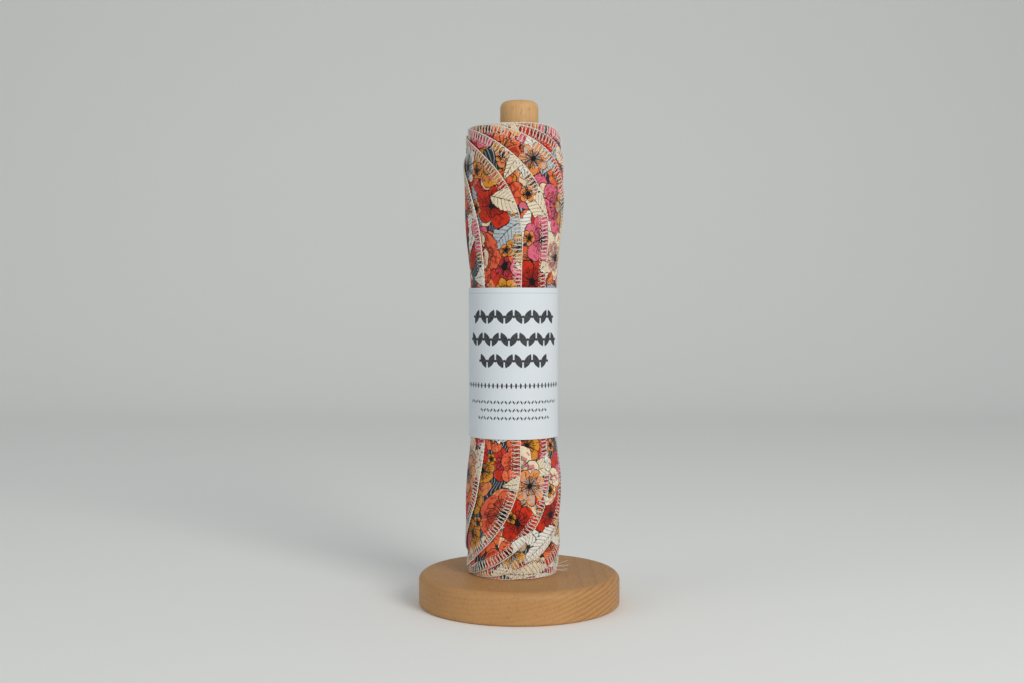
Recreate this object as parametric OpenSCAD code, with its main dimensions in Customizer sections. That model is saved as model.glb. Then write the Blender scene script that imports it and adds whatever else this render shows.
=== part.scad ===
// A roll of reusable cloth towels, kept shut by a paper band, on the post of a turned wooden stand.
// Sizes are in millimetres. The origin is the centre of the base's underside, and +Z is up.

/* [Stand] */
// Diameter of the turned base
base_d = 127; // [90:1:180]
// Thickness of the base
base_h = 20; // [18:0.5:35]
// Round on the base's top edge
base_top_round = 4.5; // [1:0.5:8]
// Round on the base's bottom edge
base_bottom_round = 2; // [0.5:0.5:4]
// Diameter of the upright post
post_d = 24; // [16:0.5:28]
// Height of the post above the towels
post_stand_out = 17.5; // [8:0.5:60]
// Round on the post's free end
post_round = 4.5; // [1:0.5:7]
// Depth of the socket that holds the post's foot
socket_depth = 12; // [6:0.5:13]

/* [Screw] */
// Diameter of the plain shank of the screw under the post
shank_d = 4.5; // [3:0.5:6]
// Diameter of the screw's thread at its root
thread_root_d = 3.2; // [2:0.1:3.8]
// Diameter of the countersunk head
screw_head_d = 9; // [7:0.5:12]
// Length of the screw, from its head's face to its tip
screw_length = 32; // [20:1:60]
// Depth of the head's face above the underside of the base
screw_sink = 1.5; // [0.5:0.5:2.5]

/* [Towels] */
// Number of towels rolled up together
towels = 6; // [3:1:8]
// Length of a towel, round the roll
towel_length = 305; // [200:1:400]
// Height of a towel, along the roll
towel_height = 279; // [200:1:330]
// Radius of a towel's rounded corners
corner_r = 72; // [20:1:95]
// Thickness of one towel in the roll's loose ends
towel_t = 1; // [0.6:0.05:1.6]
// Distance by which each towel's end stands back from the next one's
stagger = 21; // [6:1:30]
// Rise of the overlocked hem above the cloth
hem_rise = 0.3; // [0.1:0.05:0.6]
// Diameter of the hollow that the towels are rolled around
hollow_d = 32; // [29:0.5:44]
// Azimuth at which the outermost towel ends
last_end_azimuth = 235; // [0:1:359]
// Share of the loose thickness that is left under the paper band
band_squeeze = 0.87; // [0.7:0.01:0.95]
// Share of the loose thickness that is left at the roll's foot
foot_squeeze = 0.93; // [0.85:0.01:1]

/* [Paper band] */
// Height of the band
band_height = 93; // [40:1:110]
// Height of the band's lower edge above the towels' lower edge
band_rise = 86.5; // [60:0.5:95]
// Thickness of the band's paper
paper_t = 0.25; // [0.15:0.05:0.5]
// Length over which the band's ends lap at the back
band_lap = 14; // [6:1:30]

/* [Hidden] */

// Running clearances between the pieces
glue_gap = 0.1;
thread_gap = 0.05;
lean_gap = 0.3;
band_gap = 0.3;

// The stand
base_r = base_d / 2;
post_r = post_d / 2;
post_foot_z = base_h - socket_depth;
towels_top_z = base_h + towel_height;
post_length = towels_top_z + post_stand_out - post_foot_z;

// The screw
head_r = screw_head_d / 2;
shank_r = shank_d / 2;
head_h = head_r - shank_r;
shank_top_z = post_foot_z;
tip_h = thread_root_d;
drive_width = 1.1;
drive_length = 0.55 * screw_head_d;
drive_depth = 0.7 * head_h;
tip_r = 0.2;

// The roll is a stack of towels wound on a spiral. Its radii are for the loose ends of the roll.
hollow_r = hollow_d / 2;
loose_r = sqrt(pow(hollow_r, 2) + towels * towel_length * towel_t / PI);
step_angle = stagger / loose_r * 180 / PI;
lead_angle = stagger / hollow_r * 180 / PI;
stack_angle = 360 * (loose_r - hollow_r) / (towel_t * towels)
    + (towels - 1) / 2 * (step_angle + lead_angle);

// Columns of points round the spiral. Each towel's end takes a pair, one on either side of its edge.
hem_run = 0.8;
step_columns = 5;
fan_columns = step_columns * (towels - 1);
plain_columns = 15;
turn_columns = fan_columns + plain_columns;
last_column = round(stack_angle / 360 * turn_columns);
lead_columns = (towels - 1) * lead_angle / 360 * turn_columns;
plain_angle = (360 - (towels - 1) * step_angle) / plain_columns;

// Rings of points over a stack's edge, two to a towel, with a groove between neighbours
rings = 12;
groove = 0.9;

// Rows of points up the outer wall: fine on the rounded corners and coarse between them
arc_rows = 15;
mid_rows = 12;
wall_rows = 2 * arc_rows + mid_rows;

// The band and the waist that it presses into the roll
band_z = base_h + band_rise;
upper_flare = 32;
lower_flare = 22;
waist_steps = 0.15;
tight_r = hollow_r + (loose_r - hollow_r) * band_squeeze;
widest_r = max([for (i = [last_column - turn_columns : last_column]) outer_r(i) + edge_rise(i)]);
band_in_r = reach(widest_r, band_rise + band_height / 2) + band_gap;
band_out_r = band_in_r + paper_t;
lap_azimuth = 90;
lap_angle = band_lap / band_out_r * 180 / PI;

// The roll's hollow is wider than the post, and the roll leans with its right side on it.
roll_x = -(hollow_r - post_r - lean_gap);

// Angle by which a column lies before the end of the innermost towel
function back_angle(j) =
    let (turn = floor(j / turn_columns), k = j - turn * turn_columns)
    360 * turn + (k < fan_columns
        ? (floor(k / step_columns) + step_share(k % step_columns)) * step_angle
        : (towels - 1) * step_angle + (k - fan_columns) * plain_angle);

// Share of the way from one towel's edge to the next, with the last column just past the next edge
function step_share(k) = k < step_columns - 1 ? k / (step_columns - 1) : 1 - hem_run / stagger;

// Number of towels in the stack at a column: it grows at the starts and steps down at the ends
function stack_towels(i) =
    min(1 + (towels - 1) * min(1, i / lead_columns),
        min(towels, floor((last_column - i) / step_columns) + 1));

// Inner and outer radius of the stack at a column. Each turn lies on the one before it.
function inner_r(i) = i < turn_columns
    ? hollow_r + towel_t * i / turn_columns
    : outer_r(i - turn_columns);
function outer_r(i) = inner_r(i) + towel_t * stack_towels(i);

// The hem's rise at the columns that lie on a towel's edge
function edge_rise(i) =
    let (j = last_column - i)
    (j <= fan_columns && j % step_columns == 0) ? hem_rise : 0;

// How strongly the paper band presses at a height above the roll's foot, from 0 to 1
function pressed(z) =
    z < band_rise ? exp(-pow((band_rise - z) / lower_flare, 2))
    : z > band_rise + band_height ? exp(-pow((z - band_rise - band_height) / upper_flare, 2))
    : 1;

// Mean radius of the roll at a height
function mean_r(z) =
    let (end_r = z < band_rise ? hollow_r + (loose_r - hollow_r) * foot_squeeze : loose_r)
    tight_r * pressed(z) + end_r * (1 - pressed(z));

// Where a radius of the loose roll comes to at a height
function reach(r, z) =
    let (m = mean_r(z),
         squeezed = hollow_r + (r - hollow_r) * (m - hollow_r) / (loose_r - hollow_r))
    m + (squeezed - m) * (1 - (1 - waist_steps) * pressed(z));

// Height of a wall row, and the distance by which a towel's end stands back there for its corner
function corner_turn(row) = 90 * min(min(row, wall_rows - row) / arc_rows, 1);
function corner_set_back(row) = corner_r * (1 - sin(corner_turn(row)));
function row_height(row) =
    row <= arc_rows ? groove + (corner_r - groove) * (1 - cos(corner_turn(row)))
    : row >= wall_rows - arc_rows
        ? towel_height - groove - (corner_r - groove) * (1 - cos(corner_turn(row)))
        : corner_r + (towel_height - 2 * corner_r) * (row - arc_rows) / mid_rows;

// Azimuth of a column on a wall row. The rows nearest the ends stand furthest back.
function column_azimuth(i, row) =
    last_end_azimuth + (towels - 1) * step_angle - back_angle(last_column - i)
    - corner_set_back(row) / loose_r * 180 / PI;

function polar(r, azimuth, z) = [r * cos(azimuth), r * sin(azimuth), z];

// A point on the roll's foot or head: rounded towel edges with grooves between them
function end_point(i, ring, top) =
    let (x = towel_t * stack_towels(i) * ring / rings,
         share = x / towel_t - floor(x / towel_t + 0.001),
         dip = groove * (1 - sin(180 * max(0, share))),
         z = top ? towel_height - dip : dip)
    polar(reach(inner_r(i) + x, top ? towel_height : 0), column_azimuth(i, 0), z);

// A point on the outer wall
function wall_point(column, row) =
    let (i = last_column - turn_columns + column, z = row_height(row))
    polar(reach(outer_r(i) + edge_rise(i), z), column_azimuth(i, row), z);

// Places of the points in the list. A turn's last ring is the first ring of the turn around it.
end_points = (last_column + 1) * rings + turn_columns;
function end_index(i, ring, top) =
    (top ? end_points : 0)
    + (ring < rings ? i * rings + ring
        : i + turn_columns <= last_column ? (i + turn_columns) * rings
        : (last_column + 1) * rings + i - (last_column - turn_columns + 1));
function wall_index(column, row) =
    (row == 0 || row == wall_rows)
        ? end_index(last_column - turn_columns + column, rings, row > 0)
        : 2 * end_points + (row - 1) * (turn_columns + 1) + column;

roll_points = [
    for (top = [false, true]) each [
        for (i = [0 : last_column]) for (ring = [0 : rings - 1]) end_point(i, ring, top),
        for (c = [1 : turn_columns]) wall_point(c, top ? wall_rows : 0)
    ],
    for (row = [1 : wall_rows - 1]) for (c = [0 : turn_columns]) wall_point(c, row)
];

// Two triangles for a quad whose corners are given clockwise as seen from outside
function quad(a, b, c, d) = [[a, b, c], [a, c, d]];

head_and_foot_faces = [
    for (i = [0 : last_column - 1]) for (ring = [0 : rings - 1]) for (top = [false, true])
        let (a = end_index(i, ring, top), b = end_index(i + 1, ring, top),
             c = end_index(i + 1, ring + 1, top), d = end_index(i, ring + 1, top))
        each (top ? quad(a, b, c, d) : quad(a, d, c, b))
];
outer_wall_faces = [
    for (row = [0 : wall_rows - 1]) for (c = [0 : turn_columns - 1])
        each quad(wall_index(c, row), wall_index(c, row + 1),
                  wall_index(c + 1, row + 1), wall_index(c + 1, row))
];
hollow_faces = [
    for (i = [0 : turn_columns - 1])
        each quad(end_index(i + 1, 0, false), end_index(i + 1, 0, true),
                  end_index(i, 0, true), end_index(i, 0, false))
];
// The edge of the innermost towel's start, inside the hollow
start_edge_faces = [
    for (ring = [0 : rings - 1])
        each quad(end_index(0, ring, false), end_index(0, ring, true),
                  end_index(0, ring + 1, true), end_index(0, ring + 1, false))
];
// The edge of the innermost towel's end, on the outer wall
last_edge_faces = [
    for (row = [1 : wall_rows - 2])
        each quad(wall_index(turn_columns, row), wall_index(turn_columns, row + 1),
                  wall_index(0, row + 1), wall_index(0, row)),
    [wall_index(turn_columns, 1), wall_index(0, 1), wall_index(0, 0)],
    for (ring = [0 : rings - 1])
        [wall_index(turn_columns, 1), end_index(last_column, ring, false),
         end_index(last_column, ring + 1, false)],
    [wall_index(turn_columns, wall_rows - 1), wall_index(0, wall_rows), wall_index(0, wall_rows - 1)],
    for (ring = [0 : rings - 1])
        [wall_index(turn_columns, wall_rows - 1), end_index(last_column, ring + 1, true),
         end_index(last_column, ring, true)]
];
roll_faces = concat(head_and_foot_faces, outer_wall_faces, hollow_faces,
                    start_edge_faces, last_edge_faces);

$fn = 96;

// A quarter of a disc in the first quadrant
module quarter_disc(r) {
    intersection() {
        circle(r);
        square(r);
    }
}

// Half section of the base, with its two rounded edges
module base_section() {
    square([base_r - max(base_top_round, base_bottom_round), base_h]);
    translate([0, base_bottom_round])
        square([base_r, base_h - base_bottom_round - base_top_round]);
    translate([base_r - base_top_round, base_h - base_top_round])
        quarter_disc(base_top_round);
    translate([base_r - base_bottom_round, base_bottom_round])
        mirror([0, 1]) quarter_disc(base_bottom_round);
    square([base_r - base_bottom_round, base_h - base_top_round]);
    translate([0, base_h / 2])
        square([base_r - base_top_round, base_h / 2]);
}

// Outline of the screw's head and shank, grown by a gap for the hole that it lies in
module screw_room(gap) {
    translate([0, 0, screw_sink])
        cylinder(h = head_h, r1 = head_r + gap, r2 = shank_r + gap);
    translate([0, 0, screw_sink])
        cylinder(h = shank_top_z - screw_sink, r = shank_r + gap);
}

// Turned base with a socket for the post and a sunk hole for the screw
module stand_base() {
    color("burlywood") difference() {
        rotate_extrude() base_section();
        translate([0, 0, post_foot_z])
            cylinder(h = socket_depth + 1, r = post_r + glue_gap);
        translate([0, 0, -1])
            cylinder(h = screw_sink + 1, r = head_r + glue_gap);
        screw_room(glue_gap);
        translate([0, 0, post_foot_z - 1])
            cylinder(h = 2, r = shank_r + glue_gap);
    }
}

// Upright dowel with a rounded free end and a pilot hole in its foot
module stand_post() {
    pilot_h = screw_sink + screw_length - post_foot_z + thread_gap;
    color("tan") difference() {
        translate([0, 0, post_foot_z]) rotate_extrude() {
            square([post_r, post_length - post_round]);
            square([post_r - post_round, post_length]);
            translate([post_r - post_round, post_length - post_round])
                quarter_disc(post_round);
        }
        translate([0, 0, post_foot_z - 1])
            cylinder(h = pilot_h + 1, r = thread_root_d / 2 + thread_gap);
    }
}

// Countersunk wood screw that draws the post into its socket
module post_screw() {
    color("silver") difference() {
        union() {
            screw_room(0);
            translate([0, 0, shank_top_z - 1])
                cylinder(h = screw_sink + screw_length - tip_h - shank_top_z + 1, r = thread_root_d / 2);
            translate([0, 0, screw_sink + screw_length - tip_h])
                cylinder(h = tip_h, r1 = thread_root_d / 2, r2 = tip_r);
        }
        for (turn = [0, 90])
            rotate(turn)
                translate([-drive_length / 2, -drive_width / 2, screw_sink - 1])
                    cube([drive_length, drive_width, drive_depth + 1]);
    }
}

// The towels, rolled up together around a hollow, with their ends fanned out on the outside
module towel_roll() {
    color("salmon") translate([roll_x, 0, base_h])
        polyhedron(points = roll_points, faces = roll_faces, convexity = 10);
}

// A ring sector between two radii, from one azimuth on through an angle
module ring_sector(inner, outer, azimuth, angle) {
    rotate(azimuth) rotate_extrude(angle = angle)
        translate([inner, 0]) square([outer - inner, band_height]);
}

// Strip of paper closed into a ring, with its ends lapped at the back
module paper_band() {
    color("white") translate([roll_x, 0, band_z]) {
        difference() {
            cylinder(h = band_height, r = band_out_r);
            translate([0, 0, -1])
                cylinder(h = band_height + 2, r = band_in_r);
        }
        ring_sector(band_out_r - paper_t / 2, band_out_r + paper_t, lap_azimuth - lap_angle / 2, lap_angle);
    }
}

stand_base();
stand_post();
post_screw();
towel_roll();
paper_band();
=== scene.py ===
# %% [markdown]
# # A roll of cloth towels on its wooden stand
# Six printed flannel cloths are laid in a staggered stack, rolled up together around a hollow and
# kept shut by a strip of paper. The roll stands on a round beech base, round its upright post.
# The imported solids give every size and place, so the script starts by loading them.

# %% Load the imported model
import math
from functools import partialmethod

import bpy
import bmesh
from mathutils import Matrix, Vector


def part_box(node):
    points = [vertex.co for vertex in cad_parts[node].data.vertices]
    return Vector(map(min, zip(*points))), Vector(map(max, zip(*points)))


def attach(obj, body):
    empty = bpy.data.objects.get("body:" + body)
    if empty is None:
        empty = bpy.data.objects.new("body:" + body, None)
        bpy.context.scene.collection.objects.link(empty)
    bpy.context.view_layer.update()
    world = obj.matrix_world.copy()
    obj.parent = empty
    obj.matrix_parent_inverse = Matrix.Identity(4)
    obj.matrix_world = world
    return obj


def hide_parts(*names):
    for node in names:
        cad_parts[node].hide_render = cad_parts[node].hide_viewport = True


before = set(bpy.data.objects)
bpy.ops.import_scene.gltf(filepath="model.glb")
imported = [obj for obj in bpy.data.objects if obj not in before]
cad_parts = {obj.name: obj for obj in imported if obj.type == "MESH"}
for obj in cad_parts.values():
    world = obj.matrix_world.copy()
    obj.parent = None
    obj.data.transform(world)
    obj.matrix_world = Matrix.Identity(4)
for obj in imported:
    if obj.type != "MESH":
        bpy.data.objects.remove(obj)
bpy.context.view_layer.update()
MM = 0.001
print("CAD nodes:", sorted(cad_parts))

# %% [markdown]
# ## The camera
# A curve's depth tells how high the eye stands above it. The upper edge of the paper band is drawn
# straight, so the camera stood at its height, and the base's edge curves so strongly that it stood
# only some 80 cm away, with a normal lens. The post's end, seen from below, is domed. A camera
# could be placed by eye, but one that fits these curves and the widths also fits every height.

# %% Camera
CAMERA_DISTANCE = 819.1 * MM
CAMERA_HEIGHT = 191.1 * MM
CAMERA_TILT_DOWN = math.radians(1.768)
CAMERA_SIDE_STEP = -4.57 * MM
LENS_MM = 45.63
SENSOR_MM = 36.0


def put_in_scene(name, data):
    """An object that holds a mesh, a lamp or a camera, linked to the scene."""
    made = bpy.data.objects.new(name, data)
    bpy.context.scene.collection.objects.link(made)
    return made


camera_data = bpy.data.cameras.new("camera")
camera_data.lens = LENS_MM
camera_data.sensor_width = SENSOR_MM
camera_data.dof.use_dof = False
camera = put_in_scene("camera", camera_data)
camera.location = (CAMERA_SIDE_STEP, -CAMERA_DISTANCE, CAMERA_HEIGHT)
camera.rotation_euler = (math.pi / 2 - CAMERA_TILT_DOWN, 0, 0)
bpy.context.scene.camera = camera
bpy.context.scene.view_settings.view_transform = "Standard"
print("camera looks along +Y from", tuple(round(v, 3) for v in camera.location))

# %% [markdown]
# ## A short way to write node trees
# Both materials and Geometry Nodes are trees of small nodes. The helpers below add a node and its
# links in one call. Their results can be added, multiplied and so on with Python's own signs, each
# of which adds a math node, so that a formula in the script reads like the formula on paper.

# %% Node helper
def on_left(operation):
    return lambda self, other: self.t.math(operation, self, other)


def on_right(operation):
    return lambda self, other: self.t.math(operation, other, self)


class Value:
    """One result in a node tree. A formula with it, such as a + 2 * b, adds the math nodes."""

    def __init__(self, t, socket):
        self.t = t
        self.socket = socket

    __add__, __radd__ = on_left("ADD"), on_right("ADD")
    __sub__, __rsub__ = on_left("SUBTRACT"), on_right("SUBTRACT")
    __mul__, __rmul__ = on_left("MULTIPLY"), on_right("MULTIPLY")
    __truediv__, __rtruediv__ = on_left("DIVIDE"), on_right("DIVIDE")
    __mod__ = on_left("FLOORED_MODULO")
    __pow__ = on_left("POWER")

    def __abs__(self):
        return self.t.math("ABSOLUTE", self)


class Tree:
    """Adds nodes to a shader or geometry tree, one call to a node."""

    def __init__(self, tree):
        self.tree = tree

    def plug(self, socket, value):
        if isinstance(value, Value):
            value = value.socket
        if isinstance(value, bpy.types.NodeSocket):
            self.tree.links.new(value, socket)
        elif value is not None:
            socket.default_value = value

    def node(self, kind, settings=None, **inputs):
        """A new node. An underscore in an input's name stands for a space."""
        made = self.tree.nodes.new(kind)
        for name, value in (settings or {}).items():
            setattr(made, name, value)
        for name, value in inputs.items():
            self.plug(made.inputs[name.replace("_", " ")], value)
        return made

    def result(self, kind, settings=None, **inputs):
        """The first result of a new node."""
        return Value(self, self.node(kind, settings, **inputs).outputs[0])

    def math(self, operation, a, b=None):
        made = self.node("ShaderNodeMath", {"operation": operation})
        self.plug(made.inputs[0], a)
        self.plug(made.inputs[1], b)
        return Value(self, made.outputs[0])

    least = partialmethod(math, "MINIMUM")
    most = partialmethod(math, "MAXIMUM")
    below = partialmethod(math, "LESS_THAN")
    above = partialmethod(math, "GREATER_THAN")
    floor = partialmethod(math, "FLOOR")
    fraction = partialmethod(math, "FRACT")
    root = partialmethod(math, "SQRT")
    sine = partialmethod(math, "SINE")
    cosine = partialmethod(math, "COSINE")

    def clamp(self, a, low=0.0, high=1.0):
        return self.least(self.most(a, low), high)

    def hill(self, a):
        """1 where a is 0, and a smooth fall towards 0 on both sides."""
        return self.math("EXPONENT", -1.0 * (a * a))

    def ramp(self, value, low, high):
        """0 at low and 1 at high, with a smooth rise between them."""
        return self.result("ShaderNodeMapRange", {"interpolation_type": "SMOOTHSTEP"},
                           Value=value, From_Min=low, From_Max=high)

    def vector(self, operation, a, b=None, scale=None):
        made = self.node("ShaderNodeVectorMath", {"operation": operation})
        self.plug(made.inputs[0], a)
        self.plug(made.inputs[1], b)
        if scale is not None:
            self.plug(made.inputs["Scale"], scale)
        return Value(self, made.outputs["Value" if operation == "LENGTH" else "Vector"])

    def scaled(self, vector, factor):
        return self.vector("SCALE", vector, scale=factor)

    def xyz(self, x, y, z=0.0):
        return self.result("ShaderNodeCombineXYZ", X=x, Y=y, Z=z)

    def parts(self, vector):
        separated = self.node("ShaderNodeSeparateXYZ", Vector=vector).outputs
        return [Value(self, part) for part in separated]

    def position(self):
        return self.parts(self.result("GeometryNodeInputPosition"))

    def noise(self, vector, scale, detail=2.0, roughness=0.5):
        return self.result("ShaderNodeTexNoise", Vector=vector, Scale=scale, Detail=detail,
                           Roughness=roughness)

    def drift(self, place, scale, reach):
        """A smooth random shift, of up to half the reach each way."""
        noise = self.node("ShaderNodeTexNoise", Vector=place, Scale=scale, Detail=1.0)
        centred = self.vector("SUBTRACT", noise.outputs["Color"], (0.5, 0.5, 0.5))
        return self.scaled(centred, reach)

    def chance(self, low, high, seed):
        """A random number for each element, between low and high."""
        made = self.node("FunctionNodeRandomValue", {"data_type": "FLOAT"}, Seed=seed)
        for socket in made.inputs:
            if socket.type == "VALUE" and socket.name in ("Min", "Max"):
                socket.default_value = low if socket.name == "Min" else high
        return Value(self, [s for s in made.outputs if s.type == "VALUE"][0])

    def mix(self, factor, a, b):
        """Colour a where the factor is 0 and colour b where it is 1."""
        made = self.node("ShaderNodeMix", {"data_type": "RGBA"}, Factor=factor)
        self.plug([s for s in made.inputs if s.name == "A" and s.type == "RGBA"][0], a)
        self.plug([s for s in made.inputs if s.name == "B" and s.type == "RGBA"][0], b)
        return [s for s in made.outputs if s.type == "RGBA"][0]

    def moved(self, geometry, **places):
        return self.result("GeometryNodeSetPosition", Geometry=geometry, **places)

    def joined(self, *geometries):
        made = self.node("GeometryNodeJoinGeometry")
        for geometry in geometries:
            self.plug(made.inputs[0], geometry)
        return made.outputs[0]

    def covered(self, geometry, material):
        return self.result("GeometryNodeSetMaterial", Geometry=geometry, Material=material)

    def give(self, out, **results):
        """Plugs the group's results into its output node."""
        for name, value in results.items():
            self.plug(out[name], value)
        print(f"node group {self.tree.name}: {len(self.tree.nodes)} nodes")
        return self.tree


print("formulas in node trees may use + - * / % ** and abs")

# %% Start a node group
GEOMETRY = {"Geometry": "Geometry"}


def start_group(name, kind, sizes, inputs, outputs):
    """A new node group: its Tree, what it is given by name, and the sockets of what it gives."""
    tree = bpy.data.node_groups.new(name, kind)
    for side, sockets in (("INPUT", inputs), ("OUTPUT", outputs)):
        for socket_name, socket_kind in sockets.items():
            tree.interface.new_socket(socket_name, in_out=side,
                                      socket_type="NodeSocket" + socket_kind)
    for size_name, default in sizes.items():
        number = "NodeSocketInt" if isinstance(default, int) else "NodeSocketFloat"
        made = tree.interface.new_socket(size_name, in_out="INPUT", socket_type=number)
        made.default_value = default
    t = Tree(tree)
    given = {socket.name: Value(t, socket) for socket in t.node("NodeGroupInput").outputs}
    return t, given, t.node("NodeGroupOutput").inputs


def colour(red, green, blue):
    """A colour given as 0 to 255 on screen, in the linear values that nodes use."""
    linear = [c / 255 / 12.92 if c <= 10 else ((c / 255 + 0.055) / 1.055) ** 2.4
              for c in (red, green, blue)]
    return (*linear, 1.0)


print("mid grey on screen is", round(colour(128, 128, 128)[0], 3), "in linear light")

# %% [markdown]
# ## Sizes of the roll
# The solids give the roll's axis, foot and height. The cloth's own sizes are those of the real
# towels: 12 inches long and 11 inches high, and about a millimetre a layer once rolled.

# %% Sizes
BASE_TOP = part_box("stand_base")[1][2]
band_low, band_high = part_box("paper_band")
roll_low, roll_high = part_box("towel_roll")
BAND_SOLID_T = 0.25 * MM
BAND_IN_R = (band_high[0] - band_low[0]) / 2 - BAND_SOLID_T
AXIS_X = (band_low[0] + band_high[0]) / 2
FOOT_Z = roll_low[2]
BAND_LOW = band_low[2] - FOOT_Z
BAND_HIGH = band_high[2] - FOOT_Z

TOWELS = 6
TOWEL_LENGTH = 305 * MM
TOWEL_HEIGHT = roll_high[2] - roll_low[2]
CORNER_R = 72 * MM
CLOTH_T = 0.62 * MM
LAYER_PITCH = 1.0 * MM
HOLLOW_R = 16 * MM
LAST_END_AZIMUTH = math.radians(235)
STAGGER = 21 * MM
LOOSE_R = math.sqrt(HOLLOW_R**2 + TOWELS * TOWEL_LENGTH * LAYER_PITCH / math.pi)
STEP_ANGLE = STAGGER / LOOSE_R
# The steps of the six free ends carry the last one this far out
OUTER_R = LOOSE_R + 2.6 * LAYER_PITCH
# The outermost layer's middle lies this far inside the band, which leaves room for the stitches
BAND_ROOM = 0.85 * MM
TIGHT_R = BAND_IN_R - BAND_ROOM
print(f"roll axis at x = {AXIS_X / MM:.2f} mm, loose radius {LOOSE_R / MM:.2f} mm,",
      f"under the band {TIGHT_R / MM:.2f} mm")

# %% [markdown]
# ## Rolling up, as a rule
# Every towel is made flat first: x runs along its length, y up its height and z out of its printed
# face. One node group then rolls up whatever lies on that flat pattern, cloth and stitches alike.
# A roll is an Archimedean spiral. Its arc length is a square in the angle, so the angle that
# belongs to a length has a closed formula, and nothing has to be simulated. The same group pulls
# the roll in under the paper band, where the real one has a waist, and somewhat at its foot. It
# lifts the free ends a little and lets the roll bulge to the right near its head.

# %% Sizes of the loose form
UPPER_FLARE = 27 * MM
LOWER_FLARE = 19 * MM
FOOT_SQUEEZE = 0.035
EDGE_LIFT = 1.5 * MM
EDGE_LIFT_WIDTH = 8 * MM
EDGE_WAVES = 38.0
SWELL = 1.6 * MM
SWELL_WAVES = 42.0
SHOULDER_BULGE = 2.2 * MM
SHOULDER_HEIGHT = 256 * MM
SHOULDER_REACH = 24 * MM
# What every towel's cloth and hem are given, and what the roll up group takes from them
TOWEL_SIZES = {"Layer": 0.0, "Length": TOWEL_LENGTH, "Height": TOWEL_HEIGHT,
               "Corner radius": CORNER_R, "End shift": 0.0, "Lift": 0.0, "Skew": 0.0}
print("inputs of a towel:", ", ".join(TOWEL_SIZES))

# %% Roll up group
def make_roll_up():
    sizes = {**TOWEL_SIZES, "Layers": float(TOWELS), "Layer pitch": LAYER_PITCH,
             "Step angle": STEP_ANGLE, "End azimuth": LAST_END_AZIMUTH, "Outer radius": OUTER_R,
             "Edge lift": EDGE_LIFT}
    t, given, out = start_group("Roll up", "GeometryNodeTree", sizes, GEOMETRY, GEOMETRY)
    pitch = given["Layer pitch"]
    layers = given["Layers"]
    step_angle = given["Step angle"]
    outer_r = given["Outer radius"]
    corner = given["Corner radius"]
    half_height = given["Height"] * 0.5
    s, height, proud = t.position()

    # A towel that lies slightly askew in the stack has its end shifted a little from foot to head
    lean = given["Skew"] * (height - TOWEL_HEIGHT / 2)
    along = given["Length"] - s + (given["End shift"] + lean)
    growth = layers * pitch / (2 * math.pi)
    layers_above = layers - 1.0 - given["Layer"]
    past_last = layers_above * step_angle
    end_r = outer_r - (layers_above + 0.5) * pitch + growth * past_last
    radius = t.root(t.most(end_r * end_r - 2.0 * (growth * along), 1e-8))
    wound_back = (end_r - radius) / growth
    azimuth = given["End azimuth"] + past_last - wound_back

    # The roll's outer radius at this azimuth, with its steps smoothed
    behind = (wound_back - past_last) % (2 * math.pi)
    ahead = 2 * math.pi - behind
    fan_slope = pitch / step_angle - growth
    fan_r = outer_r - 0.5 * pitch - ahead * fan_slope
    plain_r = outer_r - growth * behind
    in_fan = t.below(ahead, (layers - 1.0) * step_angle)
    skin_r = in_fan * fan_r + (1 - in_fan) * plain_r
    depth = t.clamp((radius - HOLLOW_R) / (skin_r - HOLLOW_R))

    # The band presses fully under itself and less and less above and below
    pressed = t.hill(t.most(BAND_LOW - height, 0.0) / LOWER_FLARE
                     + t.most(height - BAND_HIGH, 0.0) / UPPER_FLARE)
    at_foot = t.below(height, BAND_LOW)
    free_r = LOOSE_R - at_foot * (FOOT_SQUEEZE * (LOOSE_R - HOLLOW_R))
    mean_r = pressed * TIGHT_R + (1 - pressed) * free_r
    squeeze = (mean_r - HOLLOW_R) / (LOOSE_R - HOLLOW_R)
    pulled = HOLLOW_R + (radius - HOLLOW_R) * squeeze
    rounding = pressed * depth * ((skin_r - LOOSE_R) * squeeze)
    settled = pulled - rounding

    # The free end of a towel stands off a little, less so where its outline runs level
    past_x = t.most(s - (given["Length"] - corner), 0.0)
    off_centre = abs(height - half_height)
    straight_half = half_height - corner
    past_y = t.most(off_centre - straight_half, 0.0)
    from_centre = t.most(t.vector("LENGTH", t.xyz(past_x, past_y)), 1e-6)
    from_edge = corner - from_centre
    near_edge = t.clamp(1 - from_edge / EDGE_LIFT_WIDTH)
    uneven = t.noise(t.xyz(s, height, given["Layer"]), EDGE_WAVES, 1.0)
    stand_off = (near_edge * near_edge * (past_x / from_centre)
                 * (given["Edge lift"] * uneven * (1 - pressed)))

    # Soft unevenness, the same for every layer at one place, so that no layer cuts another
    cos_a = t.cosine(azimuth)
    sin_a = t.sine(azimuth)
    place = t.xyz(cos_a * LOOSE_R, sin_a * LOOSE_R, height * 0.7)
    bulge = t.noise(place, SWELL_WAVES, 1.0) - 0.5
    swell = bulge * SWELL * (depth * (1 - pressed))
    shoulder = (t.hill((height - SHOULDER_HEIGHT) / SHOULDER_REACH)
                * (depth * SHOULDER_BULGE * t.most(cos_a, 0.0)))
    final_r = settled + (swell + shoulder) + (proud + stand_off)
    rolled = t.xyz(final_r * cos_a + AXIS_X, final_r * sin_a, height + given["Lift"] + FOOT_Z)
    return t.give(out, Geometry=t.moved(given["Geometry"], Position=rolled))


roll_up = make_roll_up()


def rolled_up(t, given, geometry):
    """Flat geometry, rolled up with its own towel's sizes."""
    sizes = {name.replace(" ", "_"): given[name] for name in TOWEL_SIZES}
    return t.result("GeometryNodeGroup", {"node_tree": roll_up}, Geometry=geometry, **sizes)


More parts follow.
